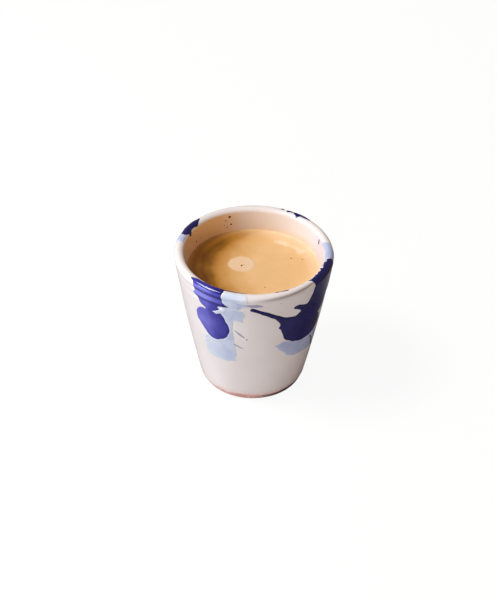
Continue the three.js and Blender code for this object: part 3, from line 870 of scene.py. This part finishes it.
def crema(finish):
    """A disc of foam that climbs the wall a little at its edge."""
    edge = liquid_edge(BEARINGS, CREMA_TOP + MENISCUS_HEIGHT)
    radius = CREMA_SHARES[:, None] * edge
    climb = fading(edge - radius, MENISCUS_WIDTH) ** 2
    flat = round_place(BEARINGS, radius, CREMA_TOP + 0 * radius)
    spot = foam_spot(flat)
    swell = ragged(flat, CREMA_SWELL) * (1 - climb)
    lifted = MENISCUS_HEIGHT * climb + FOAM_SPOT_HEIGHT * spot * spot + swell
    top = flat + lifted[..., None] * np.array([0, 0, 1])
    under_radius = CREMA_UNDER_SHARES[:, None] * liquid_edge(BEARINGS, COFFEE_TOP)
    under = round_place(BEARINGS, under_radius, COFFEE_TOP)
    # The dark mark is a painted shadow of the wall on the crema
    dark = crema_shade(flat, radius, edge)
    lit_side = 1 - hump(turn_between(BEARINGS, SHADE_EDGE_BEARING), SHADE_EDGE_LENGTH, power=6)
    # The shore is painted bounce light from the wall on the lit side, joined with the torn streak of foam
    shore_and_bounce = fading(edge - radius, SHORE_BOUNCE_WIDTH) ** SHORE_BOUNCE_FALL * fading(dark, max(SHADE_DEPTHS)) * lit_side
    # The rim is paler foam at the wall with painted light on it, kept off the shaded side
    rim_width = RIM_WIDTH * (1 + hump(turn_between(BEARINGS, RIM_WIDER_BEARING), RIM_WIDER_LENGTH))
    rim = fading(edge - radius, rim_width) ** RIM_FALL * lit_side
    shown = {"foam": spot, "shore_and_bounce": np.maximum(shore_and_bounce, foam_streak(flat)), "dark": dark, "rim": rim}
    marks = {}
    for mark, values in shown.items():
        marks[mark] = np.concatenate([0 * under_radius, values[::-1]])
    grid = np.concatenate([under, top[::-1]])
    middle = CREMA_TOP + FOAM_SPOT_HEIGHT * float(foam_spot(np.array([0, 0, CREMA_TOP])))
    return turned_piece("crema_layer", grid, COFFEE_TOP, middle, finish, ["crema"], marks)


def crema_bubbles(finish):
    """The few bubbles that show, as thin domes that stand out of the foam, closed flat below and above."""
    points = []
    faces = []
    rows = len(BUBBLE_ROWS)
    dome = [tuple(reversed(range(BUBBLE_SIDES)))]
    dome += ring_faces(rows, BUBBLE_SIDES)
    dome += [tuple(range((rows - 1) * BUBBLE_SIDES, rows * BUBBLE_SIDES))]
    for x, y, radius in BUBBLES:
        first = len(points)
        for rise in np.radians(BUBBLE_ROWS):
            for turn in np.radians(np.arange(0, 360, 360 / BUBBLE_SIDES)):
                points.append((
                    x + radius * math.cos(rise) * math.cos(turn),
                    y + radius * math.cos(rise) * math.sin(turn),
                    CREMA_TOP + FOAM_SPOT_HEIGHT + BUBBLE_RISE * radius * math.sin(rise),
                ))
        faces += [tuple(first + k for k in face) for face in dome]
    return add_piece("crema_bubbles", points, faces, finish)


# Finishes

GLAZE_IOR = 1.5
COBALT_IOR = 1.45
COFFEE_IOR = 1.33

# Heights of the bumps
GRIT_HEIGHT = 0.15
RIPPLE_HEIGHT = 0.1
FROTH_HEIGHT = 0.1

# How far noise spreads about its middle, also between two tones, and how far it changes a colour's depth
NOISE_SPREAD = (0.3, 0.7)
CLOUD_SPREAD = (0.35, 0.65)
GRIT_DEPTH = 0.55
COBALT_FLOW_DEPTH = 0.35
THIN_FLOW_DEPTH = 0.42
CREMA_SWIRL_DEPTH = 0.2

# The crema's depth of colour where it isn't dark, before its swirls take from it
CREMA_BASE_DEPTH = 0.14

# Thin glaze is paler over this width along its edge: depth of colour at the edge and past it
THIN_EDGE_WIDTH = 0.7
THIN_EDGE_DEPTHS = (0.26, 0.44)

# Depths of colour at which thin glaze has its four tones
THIN_TONE_DEPTHS = (0.15, 0.5, 0.75, 1)

# How milky the pale foam is, and how strong the painted bounce light at the shore
SHORE_BOUNCE_MILKY = 0.2
FOAM_MILKY = 0.8


def linear(hex_colour):
    """An sRGB hex colour as linear red, green, blue and alpha."""
    channels = [int(hex_colour[k:k + 2], 16) / 255 for k in (1, 3, 5)]
    return [c / 12.92 if c <= 0.04045 else ((c + 0.055) / 1.055) ** 2.4 for c in channels] + [1.0]


def per_metre(size):
    """A texture scale whose pattern repeats about every size, in millimetres."""
    return 1 / (size * MM)


def empty_tree(block):
    """The node tree of a new material or world, with nothing in it."""
    block.use_nodes = True
    block.node_tree.nodes.clear()
    return block.node_tree


def fill(tree, node, inputs):
    """Fills a node's inputs, each with a value or from a socket."""
    for name, value in inputs.items():
        if isinstance(value, bpy.types.NodeSocket):
            tree.links.new(value, node.inputs[name])
        else:
            node.inputs[name].default_value = value


def add_node(tree, kind, inputs, **settings):
    """A node with its settings and inputs."""
    made = tree.nodes.new(kind)
    for name, value in settings.items():
        setattr(made, name, value)
    fill(tree, made, inputs)
    return made


def maths(tree, operation, *values):
    """What an operation makes of values or sockets."""
    return add_node(tree, "ShaderNodeMath", dict(enumerate(values)), operation=operation).outputs["Value"]


def marked(tree, mark):
    """The mesh's mark of this name."""
    return add_node(tree, "ShaderNodeAttribute", {}, attribute_name=mark).outputs["Fac"]


def noisy(tree, place, size, detail, distortion=0.0):
    """Noise from 0 to 1 that changes over this size, in millimetres."""
    return add_node(tree, "ShaderNodeTexNoise", {
        "Vector": place, "Scale": per_metre(size), "Detail": detail, "Distortion": distortion,
    }).outputs["Fac"]


def ranged(tree, value, old, new):
    """A value carried from its old range over to a new one, and held at the ends."""
    return add_node(tree, "ShaderNodeMapRange", {
        "Value": value, "From Min": old[0], "From Max": old[1], "To Min": new[0], "To Max": new[1],
    }).outputs["Result"]


def toned(tree, depth, *stops):
    """The colour at a depth, between stops that have each a depth and a hex colour."""
    node = add_node(tree, "ShaderNodeValToRGB", {"Fac": depth})
    ramp = node.color_ramp
    while len(ramp.elements) < len(stops):
        ramp.elements.new(1)
    for element, (place, colour) in zip(ramp.elements, stops):
        element.position = place
        element.color = linear(colour)
    return node.outputs["Color"]


def mixed(tree, share, under, over, blend="MIX"):
    """The colour underneath with a share of another one over it."""
    return add_node(tree, "ShaderNodeMix", {
        "Factor": share, "A": under, "B": over,
    }, data_type="RGBA", blend_type=blend).outputs["Result"]


def stained(tree, under, mark, colour, share=1.0):
    """The colour underneath, turned to this one where the mesh has the mark, by this share of it."""
    return mixed(tree, maths(tree, "MULTIPLY", marked(tree, mark), share), under, linear(colour))


def flecked(tree, under, place, colour, spacing, fade, channel, rarity):
    """The colour underneath with small round flecks, in the rare cells whose random channel is high.

    Cells lie about this spacing apart, and a fleck fades out between these shares of it.
    """
    cells = add_node(tree, "ShaderNodeTexVoronoi", {"Vector": place, "Scale": per_metre(spacing)}).outputs
    draw = add_node(tree, "ShaderNodeSeparateColor", {"Color": cells["Color"]}).outputs[channel]
    chosen = maths(tree, "GREATER_THAN", draw, rarity)
    fleck = ranged(tree, cells["Distance"], fade, (1, 0))
    return mixed(tree, maths(tree, "MULTIPLY", fleck, chosen), under, linear(colour))


def bumped(tree, shader, bumps, strength, height):
    """Lays bumps of this height, in millimetres, on a shader's surface."""
    skin = add_node(tree, "ShaderNodeBump", {
        "Strength": strength, "Distance": height * MM, "Height": bumps,
    })
    fill(tree, shader, {"Normal": skin.outputs["Normal"]})


def fired_skin(tree, shader, place, patches, ripple_size, strength, roughness):
    """The skin of a fired glaze: softly rippled, and from smoothest to roughest in patches."""
    bumped(tree, shader, noisy(tree, place, ripple_size, detail=2), strength, RIPPLE_HEIGHT)
    fill(tree, shader, {"Roughness": ranged(tree, patches, NOISE_SPREAD, roughness)})


def new_finish(name):
    """An empty material with its shader, and the place on the cup in metres."""
    material = bpy.data.materials.new(name)
    tree = empty_tree(material)
    shader = add_node(tree, "ShaderNodeBsdfPrincipled", {})
    add_node(tree, "ShaderNodeOutputMaterial", {"Surface": shader.outputs["BSDF"]})
    place = add_node(tree, "ShaderNodeTexCoord", {}).outputs["Object"]
    return material, tree, shader, place


def cloudy_finish(name, tones, size, detail, roughness, ior):
    """A smooth finish whose colour drifts between two tones over this size."""
    material, tree, shader, place = new_finish(name)
    colour = toned(tree, noisy(tree, place, size, detail), *zip(CLOUD_SPREAD, tones))
    fill(tree, shader, {"Base Color": colour, "Roughness": roughness, "IOR": ior})
    return material


def fired_red_clay():
    """Red earthenware, turned and fired bare: matt, sandy, paler where the tool dragged the surface."""
    material, tree, shader, place = new_finish("fired_red_clay")
    blush = noisy(tree, place, size=9, detail=4)
    colour = toned(tree, blush, (0.3, "#cd9a8f"), (0.5, "#dcaea4"), (0.7, "#e4c0b8"))
    # Grit in such clay is finer than this, and is drawn coarser so that it shows
    grit = noisy(tree, place, size=0.7, detail=2)
    speck = toned(tree, grit, (0.32, "#8a5240"), (0.42, "#ffffff"), (0.66, "#ffffff"), (0.74, "#e2bda9"))
    sandy = mixed(tree, GRIT_DEPTH, colour, speck, blend="MULTIPLY")
    # The foot's painted shade, on the side away from the light
    foot_shade = stained(tree, sandy, "foot_shade", "#33201d")
    bumped(tree, shader, grit, strength=0.5, height=GRIT_HEIGHT)
    fill(tree, shader, {"Base Color": foot_shade, "Roughness": 0.85, "Specular IOR Level": 0.3})
    return material


def white_tin_glaze():
    """Cream-white tin glaze, dipped and fired glossy: milky, warmer where thin, with a few iron flecks.

    Its marks show the clay through a thin lip, near the foot and low at the right, where it is partly
    painted warm shade, coffee that wetted the coat inside, partly painted bounce light from the crema, a
    violet veil inside at the right, and painted shade in the crease.
    """
    material, tree, shader, place = new_finish("white_tin_glaze")
    cloud = noisy(tree, place, size=22, detail=3)
    patches = noisy(tree, place, size=6, detail=3)
    white = toned(tree, cloud, (0.3, "#e6dedb"), (0.7, "#eee8e6"))
    colour = stained(tree, white, "thin", "#dcc0ae", patches)
    # The crease's stain is painted shade, the pink low at the right partly painted warm shade, and the
    # film inside partly painted bounce light
    stains = {"bare": "#e6c2ba", "film_and_bounce": "#f7c78b", "veil": "#c9c2dc", "crease_shade": "#7a6054"}
    for mark, stain in stains.items():
        colour = stained(tree, colour, mark, stain)
    colour = flecked(
        tree, colour, place, "#8d7565", spacing=5.5, fade=(0.035, 0.05), channel="Red", rarity=0.8
    )
    fired_skin(tree, shader, place, patches, ripple_size=3.5, strength=0.12, roughness=(0.16, 0.26))
    fill(tree, shader, {"Base Color": colour, "IOR": GLAZE_IOR})
    return material


def cobalt_glaze():
    """Cobalt-blue glaze, poured and fired glossy: violet-blue where thin, near black-blue where thick."""
    material, tree, shader, place = new_finish("cobalt_glaze")
    flow = noisy(tree, place, size=7, detail=4)
    varied = maths(tree, "MULTIPLY_ADD", flow, COBALT_FLOW_DEPTH, marked(tree, "body"))
    depth = maths(tree, "SUBTRACT", varied, COBALT_FLOW_DEPTH / 2)
    tones = ((0.0, "#8384da"), (0.18, "#6867c2"), (0.4, "#4643a3"), (0.7, "#231f80"), (1.0, "#0c0852"))
    fired_skin(tree, shader, place, flow, ripple_size=2.8, strength=0.15, roughness=(0.1, 0.18))
    fill(tree, shader, {"Base Color": toned(tree, depth, *tones), "IOR": COBALT_IOR})
    return material


def thin_glaze(name, tones):
    """Coloured glaze run thinly over the white and fired with it: milky, paler towards its edge."""
    material, tree, shader, place = new_finish(name)
    flow = noisy(tree, place, size=5, detail=4)
    edge = ranged(tree, marked(tree, "inward"), (0, THIN_EDGE_WIDTH), THIN_EDGE_DEPTHS)
    varied = maths(tree, "MULTIPLY_ADD", flow, THIN_FLOW_DEPTH, edge)
    depth = maths(tree, "ADD", varied, marked(tree, "body"))
    colour = toned(tree, depth, *zip(THIN_TONE_DEPTHS, tones))
    fired_skin(tree, shader, place, flow, ripple_size=3.2, strength=0.12, roughness=(0.14, 0.22))
    fill(tree, shader, {"Base Color": colour, "IOR": GLAZE_IOR})
    return material


def iron_speck():
    """Iron from the clay, melted up through the glaze: small brown-black spots, as glossy as the glaze."""
    tones = ("#241410", "#4a2c1f")
    return cloudy_finish("iron_speck", tones, size=0.7, detail=2, roughness=0.2, ior=GLAZE_IOR)


def black_coffee():
    """Espresso under its foam: a dark brown liquid, a little cloudy."""
    tones = ("#2a1206", "#3d1e0c")
    return cloudy_finish("black_coffee", tones, size=12, detail=3, roughness=0.08, ior=COFFEE_IOR)


def bubble_skin():
    """The wet skin of a bubble in crema: brown coffee shows through it, and it shines."""
    tones = ("#6d451f", "#936738")
    return cloudy_finish("bubble_skin", tones, size=0.6, detail=2, roughness=0.12, ior=COFFEE_IOR)


def crema_foam():
    """Crema, the fine foam on espresso: golden brown, swirled, dark on one side from a painted shadow,
    with painted light at the wall and pinhole bubbles.
    """
    material, tree, shader, place = new_finish("crema_foam")
    swirl = noisy(tree, place, size=16, detail=4, distortion=1.2)
    # The dark mark deepens the foam's colour as a painted shadow of the wall
    swirled = maths(tree, "MULTIPLY_ADD", swirl, -CREMA_SWIRL_DEPTH, marked(tree, "dark"))
    depth = maths(tree, "ADD", swirled, CREMA_BASE_DEPTH)
    tones = ((0.0, "#ebc18b"), (0.14, "#dfb074"), (0.42, "#c69150"), (0.72, "#a8722a"), (1.0, "#502a06"))
    # Paler foam at the rim, with painted light on it
    colour = stained(tree, toned(tree, depth, *tones), "rim", "#d9ae73")
    # Painted bounce light at the shore, and the torn streak of foam
    colour = stained(tree, colour, "shore_and_bounce", "#f6dfbf", maths(tree, "ADD", swirl, SHORE_BOUNCE_MILKY))
    colour = stained(tree, colour, "foam", "#eccdab", FOAM_MILKY)
    colour = flecked(
        tree, colour, place, "#a3712f", spacing=2.4, fade=(0.06, 0.1), channel="Green", rarity=0.86
    )
    # The froth's own bubbles are finer than this, and are drawn coarser so that they show
    froth = noisy(tree, place, size=0.8, detail=2)
    bumped(tree, shader, froth, strength=0.1, height=FROTH_HEIGHT)
    fill(tree, shader, {
        "Base Color": colour, "Roughness": 0.3, "IOR": COFFEE_IOR, "Specular IOR Level": 0.3,
    })
    return material


# Studio

PAPER_SIZE = 6000
PAPER_GLOW = 0.88
PAPER_WHITE = 1.05
ROOM_LIGHT = 0.275

# Share of the white background that the glaze mirrors: none of the paper's, which it sees as it is lit
PAPER_IN_GLOSS = 0
ROOM_IN_GLOSS = 0.15

# Lamps: name, bearing, elevation, then distance, width and height in metres, power in watts, colour
LAMPS = (
    ("window", -84, 54, 1.0, 0.38, 0.31, 8.9, "#ffffff"),
    ("left_fill", -68, 10, 1.3, 0.5, 0.35, 5.1, "#d6eaff"),
    ("front_fill", -15, 10, 1.3, 0.5, 0.35, 2.4, "#ffffff"),
)

CAMERA_DISTANCE = 650
CAMERA_ELEVATION = 38.46
CAMERA_ROLL = 0.79
CAMERA_LENS = 93.1
CAMERA_AIM_RIGHT = -1.97
CAMERA_AIM_UP = 4.06
CAMERA_SENSOR = 36
CAMERA_NEAREST = 10


def seen_white(tree, mirrored):
    """1 for what the camera sees, also through glass, this share in a reflection, 0 for other light."""
    path = add_node(tree, "ShaderNodeLightPath", {}).outputs
    gloss = maths(tree, "MULTIPLY", path["Is Glossy Ray"], mirrored)
    clear = maths(tree, "MAXIMUM", path["Is Camera Ray"], path["Is Transmission Ray"])
    return maths(tree, "MAXIMUM", clear, gloss)


def studio_paper():
    """Matt background paper: white with a soft shadow to the camera, duller where the glaze mirrors it."""
    material = bpy.data.materials.new("studio_paper")
    tree = empty_tree(material)
    mirrored = add_node(tree, "ShaderNodeLightPath", {}).outputs["Is Glossy Ray"]
    tone = mixed(tree, mirrored, linear("#dbd7d4"), linear("#9d9a98"))
    lit = add_node(tree, "ShaderNodeBsdfDiffuse", {"Color": tone})
    white = add_node(tree, "ShaderNodeEmission", {"Color": linear("#ffffff"), "Strength": PAPER_WHITE})
    paper = add_node(tree, "ShaderNodeMixShader", {
        "Fac": maths(tree, "MULTIPLY", seen_white(tree, PAPER_IN_GLOSS), PAPER_GLOW),
        1: lit.outputs["BSDF"],
        2: white.outputs["Emission"],
    })
    add_node(tree, "ShaderNodeOutputMaterial", {"Surface": paper.outputs["Shader"]})
    return material


def paper_floor():
    """The sheet of paper that the cup stands on."""
    half = PAPER_SIZE / 2 * MM
    corners = [(-half, -half, 0), (half, -half, 0), (half, half, 0), (-half, half, 0)]
    mesh = bpy.data.meshes.new("paper_floor")
    mesh.from_pydata(corners, [], [(0, 1, 2, 3)])
    mesh.materials.append(studio_paper())
    floor = placed("paper_floor", mesh)


def softbox(name, bearing, elevation, distance, width, height, power, colour):
    """A lamp that faces the cup's middle."""
    lamp = bpy.data.lights.new(name, "AREA")
    lamp.color = linear(colour)[:3]
    lamp.shape = "RECTANGLE"
    lamp.size = width
    lamp.size_y = height
    lamp.energy = power
    box = placed(name, lamp)
    turn = math.radians(bearing)
    rise = math.radians(elevation)
    towards = Vector((math.sin(turn) * math.cos(rise), -math.cos(turn) * math.cos(rise), math.sin(rise)))
    box.location = Vector((0, 0, CUP_HEIGHT / 2 * MM)) + towards * distance
    box.rotation_euler = towards.to_track_quat("Z", "Y").to_euler()


def white_room():
    """A white room, seen at full strength by the camera, that lights the cup faintly and warmly."""
    world = bpy.data.worlds.new("white_room")
    tree = empty_tree(world)
    seen = seen_white(tree, ROOM_IN_GLOSS)
    light = add_node(tree, "ShaderNodeBackground", {
        "Color": mixed(tree, seen, linear("#ffede6"), linear("#ffffff")),
        "Strength": ranged(tree, seen, (0, 1), (ROOM_LIGHT, 1)),
    })
    add_node(tree, "ShaderNodeOutputWorld", {"Surface": light.outputs["Background"]})
    bpy.context.scene.world = world


def camera():
    """The photograph's view: from the front and above, turned a little about its own line of sight."""
    rise = math.radians(CAMERA_ELEVATION)
    back = Vector((0, -math.cos(rise), math.sin(rise)))
    right = Vector((1, 0, 0))
    up = back.cross(right)
    middle = Vector((0, 0, CUP_HEIGHT / 2))
    eye = middle + back * CAMERA_DISTANCE
    aim = middle + right * CAMERA_AIM_RIGHT + up * CAMERA_AIM_UP
    look = (aim - eye).to_track_quat("-Z", "Y").to_matrix().to_4x4()
    roll = Matrix.Rotation(math.radians(CAMERA_ROLL), 4, "Z")
    lens = bpy.data.cameras.new("camera")
    lens.lens = CAMERA_LENS
    lens.sensor_width = CAMERA_SENSOR
    lens.clip_start = CAMERA_NEAREST * MM
    view = placed("camera", lens)
    view.matrix_world = Matrix.Translation(eye * MM) @ look @ roll
    bpy.context.scene.camera = view


# The cup put together

bpy.context.scene.view_settings.view_transform = "Standard"
camera()
white_room()
paper_floor()
for lamp in LAMPS:
    softbox(*lamp)

clay_body(fired_red_clay())
white_coat(white_tin_glaze())
cobalt = cobalt_glaze()
pale = thin_glaze("pale_blue_glaze", ("#e9e8e7", "#dae1eb", "#c8d2e6", "#aab4d8"))
violet = thin_glaze("violet_glaze_trace", ("#cfc6cd", "#b3aabd", "#968eaa", "#7d7495"))

# How each kind of pour lies: its body is its depth of colour on ridges, in grooves and at the right
banded = {"slot": "cobalt_glaze", "thickness": POUR_THICKNESS, "body": (0, 1, 0.5)}
deep = {"slot": "cobalt_glaze", "thickness": POUR_THICKNESS, "body": (0.95, 0.1, 0)}
thin = {"slot": "pale_glaze", "thickness": THIN_POUR_THICKNESS, "body": (0.04, 0, 0.06)}
over = {"slot": "pale_glaze", "thickness": POUR_THICKNESS + THIN_POUR_THICKNESS, "body": (0.05, 0, 0)}
trace = {"slot": "pale_glaze", "thickness": THIN_POUR_THICKNESS + TRACE_ABOVE_PALE, "body": (0, 0, 0)}
speck = {"slot": "white_glaze", "thickness": THIN_POUR_THICKNESS, "body": (0, 0, 0)}
full = {"slot": "pale_glaze", "thickness": THIN_POUR_THICKNESS, "body": (0.3, 0, 0)}

glaze_pour("cobalt_front", ["cobalt_pour_front"], COBALT_FRONT, [FRONT_SLIVER], cobalt, **banded)
glaze_pour(
    "cobalt_right", ["cobalt_pour_right"], COBALT_RIGHT, [], cobalt, **deep, tones=COBALT_RIGHT_TONES
)
glaze_pour("cobalt_left", ["cobalt_pour_left"], COBALT_LEFT, [], cobalt, **deep)
glaze_pour("cobalt_back", ["cobalt_pour_back"], COBALT_BACK, [], cobalt, **deep)
glaze_pour(
    "pale_front", ["pale_pour_front"], PALE_FRONT, COBALTS, pale, **thin, tones=PALE_FRONT_TONES
)
glaze_pour("pale_shard", [], FRONT_SHARD, [], pale, **over)
glaze_pour("violet_traces", [], FRONT_TRACES, [], violet, **trace)
glaze_pour("tab_trace", [], TAB_TRACE, [], violet, **trace)
glaze_pour("iron_specks", [], IRON_SPECKS, [], iron_speck(), **speck)
glaze_pour("pale_rim", ["pale_pour_rim"], PALE_RIM, COBALTS, pale, **full)
glaze_pour("pale_right", ["pale_pour_right"], PALE_RIGHT, COBALTS, pale, **full)
glaze_pour("pale_left", ["pale_pour_left"], PALE_LEFT, COBALTS, pale, **full)
glaze_pour("pale_back", ["pale_pour_back"], PALE_BACK, COBALTS, pale, **full)
coffee(black_coffee())
crema(crema_foam())
crema_bubbles(bubble_skin())
